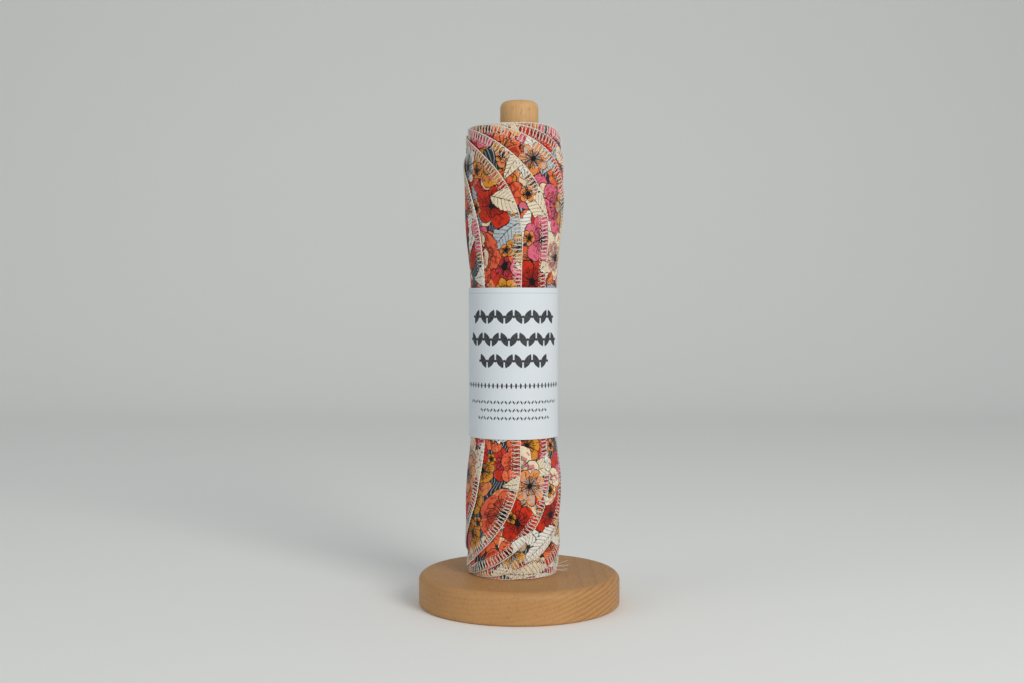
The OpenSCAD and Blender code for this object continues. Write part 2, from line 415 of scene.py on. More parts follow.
# %% [markdown]
# ## The cloth
# A towel is a flat sheet with rounded corners. A grid can be bent into that outline without any
# trimming: its rows are spaced by the corner's angle and each row is as wide as the towel is there.
# The grid's border is then the cut edge itself. Two copies, joined round the border, give the
# cloth its thickness, and a UV map in metres keeps the print true to size.

# %% Flat cloth tree
# The share of a sheet's rows that each rounded end takes
CORNER_SHARE = 0.34


def make_cloth_tree(print_material, reverse_material):
    sizes = {**TOWEL_SIZES, "Thickness": CLOTH_T, "Print shift X": 0.0, "Print shift Y": 0.0,
             "Columns": 150, "Rows": 108}
    t, given, out = start_group("Towel cloth", "GeometryNodeTree", sizes, GEOMETRY, GEOMETRY)
    corner = given["Corner radius"]
    grid = t.result("GeometryNodeMeshGrid", Size_X=1.0, Size_Y=1.0, Vertices_X=given["Columns"],
                    Vertices_Y=given["Rows"])
    across, up, _ = t.position()
    u = across + 0.5
    v = up + 0.5
    foot_turn = t.clamp(v / CORNER_SHARE) * (math.pi / 2)
    head_turn = t.clamp((1 - v) / CORNER_SHARE) * (math.pi / 2)
    straight = t.clamp((v - CORNER_SHARE) / (1 - 2 * CORNER_SHARE))
    flat_y = (corner * (1 - t.cosine(foot_turn)) + corner * t.cosine(head_turn)
              + straight * (given["Height"] - 2.0 * corner))
    inset = corner * (1 - t.sine(t.least(foot_turn, head_turn)))
    flat_x = inset + u * (given["Length"] - 2.0 * inset)
    back_z = given["Thickness"] * -0.5
    under = t.moved(grid, Position=t.xyz(flat_x, flat_y, back_z))
    face_x, face_y, _ = t.position()
    on_web = t.xyz(face_x + given["Print shift X"], face_y + given["Print shift Y"])
    mapped = t.result("GeometryNodeStoreNamedAttribute",
                      {"data_type": "FLOAT2", "domain": "CORNER"}, Geometry=under, Name="UVMap",
                      Value=on_web)
    front = t.result("GeometryNodeExtrudeMesh", {"mode": "FACES"}, Mesh=mapped,
                     Offset=t.xyz(0.0, 0.0, given["Thickness"]), Offset_Scale=1.0,
                     Individual=False)
    back = t.result("GeometryNodeFlipFaces", Mesh=mapped)
    both = t.joined(t.covered(back, reverse_material), t.covered(front, print_material))
    sewn = t.result("GeometryNodeMergeByDistance", Geometry=both, Distance=1e-6)
    smooth = t.result("GeometryNodeSetShadeSmooth", Geometry=sewn, Shade_Smooth=True)
    real = t.result("GeometryNodeRealizeInstances", Geometry=rolled_up(t, given, smooth))
    return t.give(out, Geometry=real)


print("a towel's straight side is", round((TOWEL_HEIGHT - 2 * CORNER_R) / MM, 1), "mm long")

# %% Turn a tree's result into a plain mesh piece
def grow(name, tree, values):
    """A plain mesh object made by one Geometry Nodes tree with the given named inputs."""
    holder = put_in_scene(name + "_seed", bpy.data.meshes.new(name + "_seed"))
    modifier = holder.modifiers.new("tree", "NODES")
    modifier.node_group = tree
    for item in tree.interface.items_tree:
        if item.item_type == "SOCKET" and item.in_out == "INPUT" and item.name in values:
            modifier[item.identifier] = values[item.name]
    depsgraph = bpy.context.evaluated_depsgraph_get()
    mesh = bpy.data.meshes.new_from_object(holder.evaluated_get(depsgraph), depsgraph=depsgraph)
    mesh.name = name
    bpy.data.objects.remove(holder)
    print(name, "has", len(mesh.polygons), "faces")
    return put_in_scene(name, mesh)


# %% [markdown]
# ## The print
# The towels carry a dense floral print. Here it is a generic one of our own: five-petalled
# blossoms, round rosettes, plain veined leaves and small flowers over a dark ground, with inked
# outlines. Each kind of motif is one layer. A Voronoi texture scatters one motif to a cell and
# also gives each a random number, which turns it and picks its colour. Polar coordinates around
# the cell's point then draw the petals, so the print stays sharp at any zoom.

# %% Colours of the print
INK = colour(20, 16, 18)
CHARCOAL = colour(44, 46, 52)
RED = colour(200, 48, 22)
CORAL = colour(224, 98, 62)
PINK = colour(218, 104, 126)
ROSE = colour(190, 70, 92)
MUSTARD = colour(204, 138, 34)
ORANGE = colour(224, 138, 72)
DEEP_RED = colour(142, 26, 20)
CREAM = colour(230, 212, 180)
WHITE = colour(232, 227, 216)
MIST = colour(174, 182, 186)
print("ink in linear light:", tuple(round(c, 4) for c in INK[:3]))

# %% [markdown]
# Sizes on the print are in millimetres. A layer gives back its colour, where it covers what lies
# under it, and where it is inked.

# %% One motif to a cell
OUTLINE_W = 0.55
FINE_LINE_W = 0.5
STROKE_W = 0.38
SIDE_RIB_W = 0.34
SIDE_RIB_PITCH = 2.6


def scatter(t, given):
    """The place within a motif, from its middle, and three random numbers."""
    turned = t.result("ShaderNodeVectorRotate", {"rotation_type": "Z_AXIS"},
                      Vector=given["Place"], Angle=given["Grid turn"])
    cell = given["Cell"]
    scaled = t.vector("ADD", t.vector("DIVIDE", turned, t.xyz(cell, cell, 1.0)),
                      t.xyz(given["Shift"], given["Shift"] * 1.7))
    cells = t.node("ShaderNodeTexVoronoi", {"voronoi_dimensions": "2D", "feature": "F1"},
                   Vector=scaled, Scale=1.0, Randomness=given["Looseness"])
    off_middle = t.vector("SUBTRACT", scaled, cells.outputs["Position"])
    local = t.vector("MULTIPLY", off_middle, t.xyz(cell, cell, 0.0))
    return local, t.parts(cells.outputs["Color"])


def pen(t, distance, width):
    """A drawn line: 1 on it and 0 beside it, for a distance from its middle."""
    return 1 - t.ramp(distance, width * 0.25, width * 0.65)


def start_layer(name, sizes, colours):
    """A shader group with the inputs and outputs that every layer of motifs has."""
    shared = {"Cell": 34.0, "Grid turn": 0.0, "Shift": 0.0, "Looseness": 0.3, "Keep": 1.0}
    inputs = {"Place": "Vector", **{colour_name: "Color" for colour_name in colours}}
    outputs = {"Colour": "Color", "Cover": "Float", "Ink": "Float"}
    return start_group(name, "ShaderNodeTree", {**shared, **sizes}, inputs, outputs)


def cover_and_ink(t, inside, kept, lines):
    """Where a motif covers the cloth and where it is inked; inside is the way to its outline."""
    ink = t.most(pen(t, abs(inside), OUTLINE_W), lines)
    return t.ramp(inside, -0.05, 0.1) * kept, ink * (t.ramp(inside, -0.4, -0.2) * kept)


print("outlines are", OUTLINE_W, "mm wide, side ribs", SIDE_RIB_PITCH, "mm apart")

# %% Flower layer
def make_flower_layer():
    sizes = {"Radius": 14.0, "Petals": 5.0, "Notch": 0.3, "Heart share": 0.15}
    t, given, out = start_layer("Flower layer", sizes,
                                ("Petal A", "Petal B", "Petal C", "Streak", "Heart"))
    local, chance = scatter(t, given)
    x, y, _ = t.parts(local)
    radius = t.vector("LENGTH", local)
    ruffle = t.noise(given["Place"], 0.16, 2.0) - 0.5
    fine = t.noise(given["Place"], 0.7, 2.0) - 0.5
    turn = t.math("ARCTAN2", y, x) / (2 * math.pi) + chance[0] * 3.0
    petal_turn = (turn + ruffle * 0.05) * given["Petals"]

    def petal_edge(phase):
        part = t.fraction(petal_turn + phase)
        return abs((part - 0.5) * 2.0)

    side = petal_edge(0.0)
    size = given["Radius"] * (0.84 + chance[1] * 0.22)
    lobes = 1 - given["Notch"] * side ** 2.6
    reach = size * (lobes + (ruffle * 0.22 + fine * 0.05))
    inside = reach - radius
    share = radius / reach
    kept = t.below(chance[2], given["Keep"])
    part_gap = (1 - side) * (math.pi / given["Petals"]) * radius

    # A second row of petals, turned by half a petal, shows inside the first
    inner_lobes = 1 - given["Notch"] * petal_edge(0.5) ** 2.0
    inner_reach = size * 0.55 * (inner_lobes + ruffle * 0.4)
    in_inner = t.ramp(inner_reach - radius, -0.05, 0.1)
    inner_line = pen(t, abs(inner_reach - radius), FINE_LINE_W)

    # Four strokes to a petal run out from the heart
    strands = t.fraction(petal_turn * 4.0 + fine * 0.5)
    strand_gap = abs(strands - 0.5) * (2 * math.pi / 4 / given["Petals"]) * radius
    strand_end = 0.66 + ruffle * 2.0
    strokes = pen(t, strand_gap, STROKE_W) * t.below(share, strand_end)
    heart_r = size * given["Heart share"]
    heart = 1 - t.ramp(radius - heart_r, -0.15, 0.0)
    lines = t.most(pen(t, part_gap, FINE_LINE_W), t.most(inner_line, strokes))
    cover, ink = cover_and_ink(t, inside, kept, lines)

    petal = t.mix(t.above(chance[1], 0.40), given["Petal A"], given["Petal B"])
    petal = t.mix(t.above(chance[0], 0.70), petal, given["Petal C"])
    number = t.floor(petal_turn) + chance[2] * 97.0
    own = t.result("ShaderNodeTexWhiteNoise", {"noise_dimensions": "1D"}, W=number)
    blush = (1 - t.clamp(share)) ** 1.5
    shade = 1.0 + (own - 0.5) * 0.22 - blush * 0.34
    shade = shade + fine * 0.3 - in_inner * 0.1
    painted = t.scaled(petal, t.clamp(shade, 0.45, 1.2))
    # Brush strokes in a second colour fan out over the petals, stronger towards the heart
    fan = t.noise(t.xyz(turn * given["Petals"], radius * 0.13, chance[0]), 3.4, 2.0)
    brushed = t.ramp(fan - share * 0.13, 0.41, 0.5) * 0.72
    painted = t.mix(brushed, painted, given["Streak"])
    painted = t.mix(heart, painted, given["Heart"])
    return t.give(out, Colour=painted, Cover=cover, Ink=ink)


flower_layer = make_flower_layer()

# %% Leaf layer
def make_leaf_layer():
    sizes = {"Half length": 15.0, "Half width": 6.0}
    t, given, out = start_layer("Leaf layer", sizes, ("Leaf A", "Leaf B"))
    local, chance = scatter(t, given)
    x, y, _ = t.parts(local)
    angle = chance[0] * (2 * math.pi)
    cos_a = t.cosine(angle)
    sin_a = t.sine(angle)
    fine = t.noise(given["Place"], 0.45, 2.0) - 0.5
    along = x * cos_a + y * sin_a
    beside = y * cos_a - x * sin_a + fine * 1.2
    share = along / given["Half length"]
    taper = t.most(1 - share * share, 0.0)
    swell = 1.0 + share * -0.35
    width = given["Half width"] * taper * (swell * (1.0 + fine * 0.6))
    off_rib = abs(beside)
    kept = t.below(chance[2], given["Keep"]) * t.below(abs(share), 1.0)
    comb = t.fraction((along - off_rib * 0.75) / SIDE_RIB_PITCH)
    side_rib = pen(t, abs(comb - 0.5) * SIDE_RIB_PITCH, SIDE_RIB_W)
    cover, ink = cover_and_ink(t, width - off_rib, kept,
                               t.most(pen(t, off_rib, FINE_LINE_W), side_rib))
    leaf = t.mix(t.above(chance[1], 0.55), given["Leaf A"], given["Leaf B"])
    painted = t.scaled(leaf, t.clamp(0.97 + fine * 0.4, 0.6, 1.1))
    return t.give(out, Colour=painted, Cover=cover, Ink=ink)


leaf_layer = make_leaf_layer()

# %% [markdown]
# The layers are laid over each other, the later ones on top. A slow drift bends their rows, so
# that no grid shows. Between the motifs a dark ground with pale strokes is left.

# %% The whole print
# The drift's whole reach in millimetres, and its waves to a millimetre
DRIFT = 14.0
DRIFT_WAVES = 0.03


def draw_print(t, place):
    """The whole print's colour at a place on the cloth, in millimetres."""
    bent = t.vector("ADD", place, t.drift(place, DRIFT_WAVES, DRIFT))
    strokes = t.fraction(t.noise(bent, 0.06, 1.0) * 6.0 + t.parts(bent)[0] * 0.42)
    drawn = t.mix(pen(t, abs(strokes - 0.5), 0.15), CHARCOAL, MIST)

    def layer(group, cell, turn, shift, keep, colours, **sizes):
        return t.node("ShaderNodeGroup", {"node_tree": group}, Place=bent, Cell=cell,
                      Grid_turn=math.radians(turn), Shift=shift, Keep=keep, **colours, **sizes)

    def flowers(cell, turn, shift, radius, petals, keep, colours, notch=0.3, heart=0.15):
        named = dict(zip(("Petal_A", "Petal_B", "Petal_C", "Streak", "Heart"), colours))
        return layer(flower_layer, cell, turn, shift, keep, named, Radius=radius, Petals=petals,
                     Notch=notch, Heart_share=heart)

    def leaves(cell, turn, shift, half_length, half_width, keep, colours):
        named = dict(zip(("Leaf_A", "Leaf_B"), colours))
        return layer(leaf_layer, cell, turn, shift, keep, named, Half_length=half_length,
                     Half_width=half_width)

    layers = (
        flowers(27.0, 44, 6.3, 14.5, 5.0, 0.92, (PINK, ORANGE, RED, ROSE, INK)),
        flowers(22.0, 10, 0.3, 11.0, 6.0, 0.8, (MUSTARD, CREAM, CORAL, ORANGE, CHARCOAL),
                notch=0.2),
        leaves(31.0, 35, 3.6, 15.5, 7.0, 0.55, (WHITE, MIST)),
        flowers(36.0, 20, 5.1, 16.5, 5.0, 1.0, (RED, CORAL, PINK, DEEP_RED, INK)),
        leaves(36.0, 62, 7.7, 17.5, 6.6, 0.7, (WHITE, CREAM)),
        flowers(40.0, -28, 2.2, 16.0, 5.0, 0.62, (PINK, CREAM, MUSTARD, ROSE, CHARCOAL)),
        flowers(33.0, 50, 9.4, 11.5, 7.0, 0.5, (WHITE, ORANGE, MUSTARD, MIST, INK), notch=0.4),
        flowers(24.0, 5, 4.4, 5.0, 5.0, 0.5, (MUSTARD, ORANGE, RED, ORANGE, INK), notch=0.45,
                heart=0.3),
    )
    for motifs in layers:
        drawn = t.mix(motifs.outputs["Cover"], drawn, motifs.outputs["Colour"])
        drawn = t.mix(motifs.outputs["Ink"], drawn, INK)
    return drawn


print("the print drifts by up to", DRIFT / 2, "mm")

# %% [markdown]
# The cloth itself is brushed flannel. Close up it has a soft, slightly speckled surface, so the
# print is broken up by a fine noise, roughness is high and a little sheen stands for the nap.
# The reverse shows the same print, faded to cream.

# %% Printed cloth material
def new_material(name, **constants):
    """A material, its Tree and its shader, with the constants set on the shader's own sockets."""
    material = bpy.data.materials.new(name)
    material.use_nodes = True
    material.node_tree.nodes.clear()
    t = Tree(material.node_tree)
    surface = t.node("ShaderNodeBsdfPrincipled", **constants)
    t.node("ShaderNodeOutputMaterial", Surface=surface.outputs[0])
    return material, t, surface


def finish_material(material, t, surface, base, bump, roughness=None):
    """Plugs in a colour, a bump (height, strength, distance) and a roughness if it varies."""
    normal = t.result("ShaderNodeBump", **dict(zip(("Height", "Strength", "Distance"), bump)))
    for name, value in (("Base Color", base), ("Normal", normal), ("Roughness", roughness)):
        t.plug(surface.inputs[name], value)
    print(f"material {material.name}: {len(t.tree.nodes)} nodes")
    return material


def sheet_place(t):
    """A place on a flat sheet, in millimetres, from the piece's own UV map."""
    return t.scaled(t.result("ShaderNodeUVMap", {"uv_map": "UVMap"}), 1 / MM)


def solid_place(t):
    """A place in the object's frame, in millimetres."""
    return t.scaled(t.node("ShaderNodeTexCoord").outputs["Object"], 1 / MM)


def make_cloth_material(name, faded):
    material, t, surface = new_material(name, Roughness=0.92, Specular_IOR_Level=0.2,
                                        Sheen_Weight=0.12, Sheen_Roughness=0.5)
    place = sheet_place(t)
    drawn = draw_print(t, place)
    if faded:
        drawn = t.mix(0.72, drawn, CREAM)
    nap = t.noise(place, 2.6, 3.0, 0.7)
    weave = t.noise(t.vector("MULTIPLY", place, (3.2, 1.1, 1.0)), 1.5, 1.0)
    tone = 0.83 + (nap * 0.2 + weave * 0.08)
    bump = (nap + weave * 0.5, 0.45, 0.25 * MM)
    return finish_material(material, t, surface, t.scaled(drawn, tone), bump)


printed_flannel = make_cloth_material("printed_flannel", faded=False)
flannel_reverse = make_cloth_material("flannel_reverse", faded=True)

# %% [markdown]
# ## The overlocked hem
# A serger wraps the cut edge in thread. On the face it shows as bars that stand square to the edge,
# a straight needle line where they end and a chain along the very edge. The path is a rectangle
# with filleted corners, the same outline as the cloth's. Each stitch is two closed loops of thread
# around the edge, repeated along the path, and the whole hem goes through the roll up group.

# %% Thread material
def make_thread_material():
    material, t, surface = new_material("hem_thread", Roughness=0.75, Sheen_Weight=0.15)
    fibre = t.noise(solid_place(t), 3.0, 3.0, 0.7)
    cotton = t.mix(fibre, colour(203, 193, 174), colour(240, 234, 222))
    return finish_material(material, t, surface, cotton, (fibre, 0.5, 0.1 * MM))


hem_thread = make_thread_material()

# %% Hem tree
STITCH_PITCH = 2.35 * MM
STITCH_DEPTH = 5.6 * MM
THREAD_R = 0.23 * MM
LOOPER_R = 0.15 * MM
EDGE_THREAD_R = 0.33 * MM
CHAIN_OUT = 0.18 * MM
CHAIN_WAVE = 0.45 * MM


def thread_ring(t, sides, radius):
    return t.result("GeometryNodeCurvePrimitiveCircle", {"mode": "RADIUS"}, Resolution=sides,
                    Radius=radius)


def tube(t, curve, profile, caps=False):
    return t.result("GeometryNodeCurveToMesh", Curve=curve, Profile_Curve=profile, Fill_Caps=caps)


def make_hem_tree():
    sizes = {**TOWEL_SIZES, "Thickness": CLOTH_T, "Stitch pitch": STITCH_PITCH,
             "Stitch depth": STITCH_DEPTH, "Thread radius": THREAD_R, "Seed": 1}
    t, given, out = start_group("Overlocked hem", "GeometryNodeTree", sizes, GEOMETRY, GEOMETRY)
    outline = t.result("GeometryNodeCurvePrimitiveQuadrilateral", Width=given["Length"],
                       Height=given["Height"])
    rounded = t.result("GeometryNodeFilletCurve", {"mode": "POLY"}, Curve=outline, Count=40,
                       Radius=given["Corner radius"])
    placed = t.result("GeometryNodeTransform", Geometry=rounded,
                      Translation=t.xyz(given["Length"] * 0.5, given["Height"] * 0.5))
    path, half_path = (t.result("GeometryNodeResampleCurve", {"mode": "LENGTH"}, Curve=placed,
                                Length=step)
                       for step in (given["Stitch pitch"], given["Stitch pitch"] * 0.5))
    tangent = t.result("GeometryNodeInputTangent")
    along_x, along_y, _ = t.parts(tangent)
    inward = t.xyz(along_y * -1.0, along_x)
    outer_z = given["Thickness"] * 0.5 + given["Thread radius"] * 0.4
    reach_in = given["Stitch depth"] * 0.5

    # A stitch is two flattened loops round the edge, a straight bar and a thinner slanted one.
    # Each has its points, its thread's sides and radius, and its slant as a share of the pitch
    ring_x, ring_y, _ = t.position()
    flat = t.math("SIGN", ring_y) * abs(ring_y) ** 0.4
    loops = []
    for points, sides, thread_r, slant in ((12, 5, given["Thread radius"], 0.12),
                                           (8, 4, LOOPER_R, -0.46)):
        sideways = ring_x * (given["Stitch pitch"] * slant)
        loop = t.moved(thread_ring(t, points, 1.0),
                       Position=t.xyz(sideways, reach_in * (ring_x + 0.93), flat * outer_z))
        loops.append(tube(t, loop, thread_ring(t, sides, thread_r)))
    turned = t.result("FunctionNodeAxesToRotation", {"primary_axis": "X", "secondary_axis": "Z"},
                      Primary_Axis=tangent, Secondary_Axis=(0.0, 0.0, 1.0))
    sway = t.result("FunctionNodeEulerToRotation",
                    Euler=t.xyz(0.0, 0.0, t.chance(-0.13, 0.13, given["Seed"])))
    leaning = t.result("FunctionNodeRotateRotation", {"rotation_space": "LOCAL"},
                       Rotation=turned, Rotate_By=sway)
    grown = t.xyz(1.0, t.chance(0.86, 1.06, given["Seed"] + 100.0), 1.0)
    stitches = t.result("GeometryNodeInstanceOnPoints", Points=path, Instance=t.joined(*loops),
                        Rotation=leaning, Scale=grown)

    # The needle line on the face and the chain along the edge, as two waving threads
    odd = t.result("GeometryNodeInputIndex") % 2.0
    threads = [stitches]
    for way_in, wave, sides, thread_r in (
            (given["Stitch depth"], outer_z * odd, 4, LOOPER_R),
            (-CHAIN_OUT, (odd - 0.5) * CHAIN_WAVE, 6, EDGE_THREAD_R)):
        offset = t.vector("ADD", t.scaled(inward, way_in), t.xyz(0.0, 0.0, wave))
        threads.append(tube(t, t.moved(half_path, Offset=offset), thread_ring(t, sides, thread_r)))
    real = t.result("GeometryNodeRealizeInstances", Geometry=t.joined(*threads))
    smooth = t.result("GeometryNodeSetShadeSmooth", Shade_Smooth=True,
                      Geometry=rolled_up(t, given, real))
    return t.give(out, Geometry=t.covered(smooth, hem_thread))


hem_tree = make_hem_tree()
cloth_tree = make_cloth_tree(printed_flannel, flannel_reverse)

# %% [markdown]
# Six towels are now grown from the two trees. Cloths that are cut and rolled by hand never lie
# quite alike, so each has its own small slips. The lowest hem carries the roll on the base.

# %% Six towels
HEM_ROOM = 0.55 * MM
# For each towel in millimetres: how far its end is off, how high it stands, how much it is short
towel_slips = ((0.0, 0.2, 0.2), (1.2, 0.0, 0.4), (-1.0, 0.3, 1.0), (0.8, 0.1, 0.6),
               (-1.4, 0.1, 2.6), (4.0, 0.0, 4.2))
towel_skews = (0.0, 0.010, -0.010, 0.012, -0.008, 0.0)
# Where on the printed web each towel was cut, in metres
print_places = ((0.0, 0.0), (0.131, 0.057), (0.258, 0.203), (0.349, 0.017), (0.377, 0.119),
                (0.293, 0.441))
towels = []
for layer in range(TOWELS):
    end_shift, lift, short = (value * MM for value in towel_slips[layer])
    flat_height = TOWEL_HEIGHT - short
    common = {"Layer": float(layer), "Height": flat_height, "End shift": end_shift,
              "Lift": HEM_ROOM + lift, "Skew": towel_skews[layer]}
    towel = grow(f"towel_{layer + 1}", cloth_tree,
                 {**common, "Print shift X": print_places[layer][0],
                  "Print shift Y": print_places[layer][1]})
    hem = grow(f"towel_{layer + 1}_hem", hem_tree, {**common, "Seed": layer + 11})
    towels.append((towel, hem, flat_height))

# %% [markdown]
# Where the serger ran off a corner, a short tail of thread is left. A few of these stick out at
# the roll's foot and head. Each is a line with a seeded wobble that grows towards its loose end.

# %% Thread tails
def make_tail_tree():
    t, given, out = start_group("Thread tail", "GeometryNodeTree",
                                {"Wobble": 2 * MM, "Thread radius": THREAD_R, "Seed": 0.0},
                                {**GEOMETRY, "Start": "Vector", "End": "Vector"}, GEOMETRY)
    line = t.result("GeometryNodeCurvePrimitiveLine", {"mode": "POINTS"}, Start=given["Start"],
                    End=given["End"])
    fine = t.result("GeometryNodeResampleCurve", {"mode": "COUNT"}, Curve=line, Count=26)
    share = t.result("GeometryNodeSplineParameter")
    side = t.drift(t.xyz(share * 2.2, given["Seed"]), 1.6, given["Wobble"] * 4.0 * share)
    bent = t.moved(fine, Offset=side)
    real = t.result("GeometryNodeRealizeInstances",
                    Geometry=tube(t, bent, thread_ring(t, 6, given["Thread radius"]), caps=True))
    return t.give(out, Geometry=t.covered(real, hem_thread))


tail_tree = make_tail_tree()
CORD_R = 0.20 * MM
FRAY_R = 0.12 * MM
# Azimuth in degrees, height on the roll, reach outwards, rise and wobble in millimetres, thickness
tail_places = ((212, 12.0, 6.5, -4.0, 1.2, CORD_R), (218, 9.5, 5.0, -1.5, 1.0, CORD_R),
               (352, 5.4, 5.5, 1.6, 0.9, FRAY_R), (346, 4.4, 6.0, 0.4, 0.8, FRAY_R),
               (355, 3.6, 6.4, 0.8, 0.9, FRAY_R), (340, 2.8, 5.4, -0.4, 0.8, FRAY_R),
               (350, 2.0, 5.6, 0.3, 0.7, FRAY_R), (332, 275.0, 2.0, 1.6, 0.8, FRAY_R))
# A tail starts this far under the roll's surface, in millimetres
TAIL_ROOT = 1.2
TAIL_START_R = LOOSE_R - TAIL_ROOT * MM
TAIL_TURN = math.radians(4)
tails = []
for number, (azimuth, height, reach, rise, wobble, tail_r) in enumerate(tail_places, start=1):
    turn = math.radians(azimuth)
    end_turn = turn + TAIL_TURN
    end_r = TAIL_START_R + (reach + TAIL_ROOT) * MM
    start = (AXIS_X + TAIL_START_R * math.cos(turn), TAIL_START_R * math.sin(turn),
             FOOT_Z + height * MM)
    end = (AXIS_X + end_r * math.cos(end_turn), end_r * math.sin(end_turn),
           FOOT_Z + (height + rise) * MM)
    tails.append(grow(f"thread_tail_{number}", tail_tree,
                      {"Start": start, "End": end, "Wobble": wobble * MM,
                       "Thread radius": tail_r, "Seed": 3.7 * number}))

# %% [markdown]
# ## The paper band
# A strip of uncoated paper goes once round the roll and its ends lap at the back, where a spot of
# glue holds them. The strip is a thin closed solid, built along its length, so that it has real
# cut edges and a real lap. A fold near its upper edge is a small dent in the bump with a fine grey
# line of painted shade along it. The wording of the real one is left off: rows of plain leaf and
# dot ornament take its place.

# %% Ornament rows
# Each row: millimetres below the top edge, leaves, pitch, half length, half width, slant, dot radius
ORNAMENT_ROWS = (
    (17.8, 10, 5.8, 4.9, 2.1, 0.45, 0.85),
    (31.7, 11, 5.8, 4.9, 2.1, -0.45, 0.85),
    (44.9, 8, 5.8, 4.9, 2.1, 0.45, 0.85),
    (60.1, 26, 2.9, 1.9, 0.72, 0.0, 0.34),
    (70.2, 27, 2.4, 1.4, 0.5, 0.5, 0.24),
    (75.1, 19, 2.4, 1.4, 0.5, -0.5, 0.24),
    (80.0, 21, 2.4, 1.4, 0.5, 0.5, 0.24),
)


def ornament_row(t, x, rise, leaves, pitch, half_length, half_width, slant, dot_r):
    """Leaves in a row with a dot between neighbours, as a mask."""
    step = x / pitch + 0.5 * (leaves % 2)
    here = (t.fraction(step) - 0.5) * pitch
    lean = (t.floor(step) % 2.0 * 2.0 - 1.0) * slant
    along = here * t.sine(lean) + rise * t.cosine(lean)
    beside = here * t.cosine(lean) - rise * t.sine(lean)
    share = along / half_length
    width = half_width * (1 - share * share)
    leaf = t.ramp(width - abs(beside), -0.04, 0.08)
    to_dot = 0.5 * pitch - abs(here)
    gap = t.root(to_dot * to_dot + rise * rise)
    dot = 1 - t.ramp(gap, dot_r - 0.05, dot_r + 0.07)
    half_run = 0.5 * leaves * pitch
    off_middle = abs(x)
    return t.most(leaf * t.below(off_middle, half_run),
                  dot * t.below(off_middle, half_run + pitch / 2))


print("ornament rows:", len(ORNAMENT_ROWS))

# %% Paper material
# The fold lies this far below the upper edge, in millimetres
BAND_FOLD = 3.3
PAPER_INK = colour(30, 33, 38)


def make_paper_material():
    material, t, surface = new_material("band_paper", Roughness=0.62, Specular_IOR_Level=0.35)
    place = sheet_place(t)
    x, y, _ = t.parts(place)
    below_top = (BAND_HIGH - BAND_LOW) / MM - y
    inked = 0.0
    for row_place, *row in ORNAMENT_ROWS:
        inked = t.most(inked, ornament_row(t, x, row_place - below_top, *row))
    fibre = t.noise(place, 1.3, 3.0, 0.65)
    cloud = t.noise(place, 0.05, 2.0)
    paper = t.mix(fibre * 0.5 + cloud * 0.5, colour(204, 211, 216), colour(219, 224, 228))
    # The fold is a fine grey line of painted shade on the paper, and the same line dents the bump
    fold_dent_and_painted_shade = pen(t, abs(below_top - BAND_FOLD), 0.55)
    paper = t.mix(fold_dent_and_painted_shade * 0.35, paper, colour(150, 156, 160))
    press = 0.86 + t.noise(place, 0.8, 2.0) * 0.2
    printed = t.mix(inked * press, paper, PAPER_INK)
    bump = (fibre * 0.4 - fold_dent_and_painted_shade, 0.25, 0.12 * MM)
    return finish_material(material, t, surface, printed, bump)


band_paper = make_paper_material()

# %% Band strip
PAPER_T = 0.22 * MM
BAND_LAP = 14 * MM
# Before its lap the strip climbs onto its own start over this angle, in radians
CLIMB_ANGLE = 0.30
# The strip's two edges curl outwards, each over this share of half its height
EDGE_CURL = 0.12 * MM
CURL_SHARE = 0.3


def make_band():
    length = 2 * math.pi * (BAND_IN_R + PAPER_T) + BAND_LAP
    columns = 220
    rows = 24
    build = bmesh.new()
    uv_layer = build.loops.layers.uv.new("UVMap")
    start = math.pi / 2 - BAND_LAP / 2 / BAND_IN_R
    height = BAND_HIGH - BAND_LOW

    def point(column, row, proud):
        turn = length * column / columns / (BAND_IN_R + PAPER_T)
        over = min(max((turn - 2 * math.pi + CLIMB_ANGLE) / CLIMB_ANGLE, 0.0), 1.0)
        climb = PAPER_T * 1.25 * over * over * (3 - 2 * over)
        curl = EDGE_CURL * max(0.0, abs(2 * row / rows - 1) - (1 - CURL_SHARE)) / CURL_SHARE
        radius = BAND_IN_R + climb + curl + proud
        azimuth = start + turn
        return (AXIS_X + radius * math.cos(azimuth), radius * math.sin(azimuth),
                FOOT_Z + BAND_LOW + height * row / rows)

    sheets = [[[build.verts.new(point(c, r, proud)) for r in range(rows + 1)]
               for c in range(columns + 1)] for proud in (0.0, PAPER_T)]
    front = length / 2 + PAPER_T

    def face(corners, places):
        made = build.faces.new(corners)
        made.smooth = True
        for loop, (column, row) in zip(made.loops, places):
            loop[uv_layer].uv = (length * column / columns - front, height * row / rows)

    for c in range(columns):
        for r in range(rows):
            square = [(c, r), (c + 1, r), (c + 1, r + 1), (c, r + 1)]
            face([sheets[1][a][b] for a, b in square], square)
            square.reverse()
            face([sheets[0][a][b] for a, b in square], square)
    rim = ([(c, 0) for c in range(columns)] + [(columns, r) for r in range(rows)]
           + [(c, rows) for c in range(columns, 0, -1)] + [(0, r) for r in range(rows, 0, -1)])
    for here, after in zip(rim, rim[1:] + rim[:1]):
        face([sheets[0][here[0]][here[1]], sheets[0][after[0]][after[1]],
              sheets[1][after[0]][after[1]], sheets[1][here[0]][here[1]]],
             [here, after, after, here])
    bmesh.ops.recalc_face_normals(build, faces=build.faces)
    mesh = bpy.data.meshes.new("paper_strip")
    build.to_mesh(mesh)
    build.free()
    mesh.materials.append(band_paper)
    mesh.set_sharp_from_angle(angle=math.radians(40))
    print("paper strip:", round(length / MM, 1), "mm long,", len(mesh.polygons), "faces")
    return put_in_scene("paper_strip", mesh)


paper_strip = make_band()

# %% [markdown]
# ## Beech wood
# Beech is pale and even, with fine growth lines and short brown flecks along the grain. The base
# is cut from a plank, so its lines run front to back and its front shows end grain. The post is a
# dowel, whose grain runs up it. Both take their pattern from object coordinates: a distance from
# the tree's heart gives the growth rings, and a noise stretched along the grain gives the flecks.
# On this stand the rings show most on the right, and less on the base's flat top than on its side.

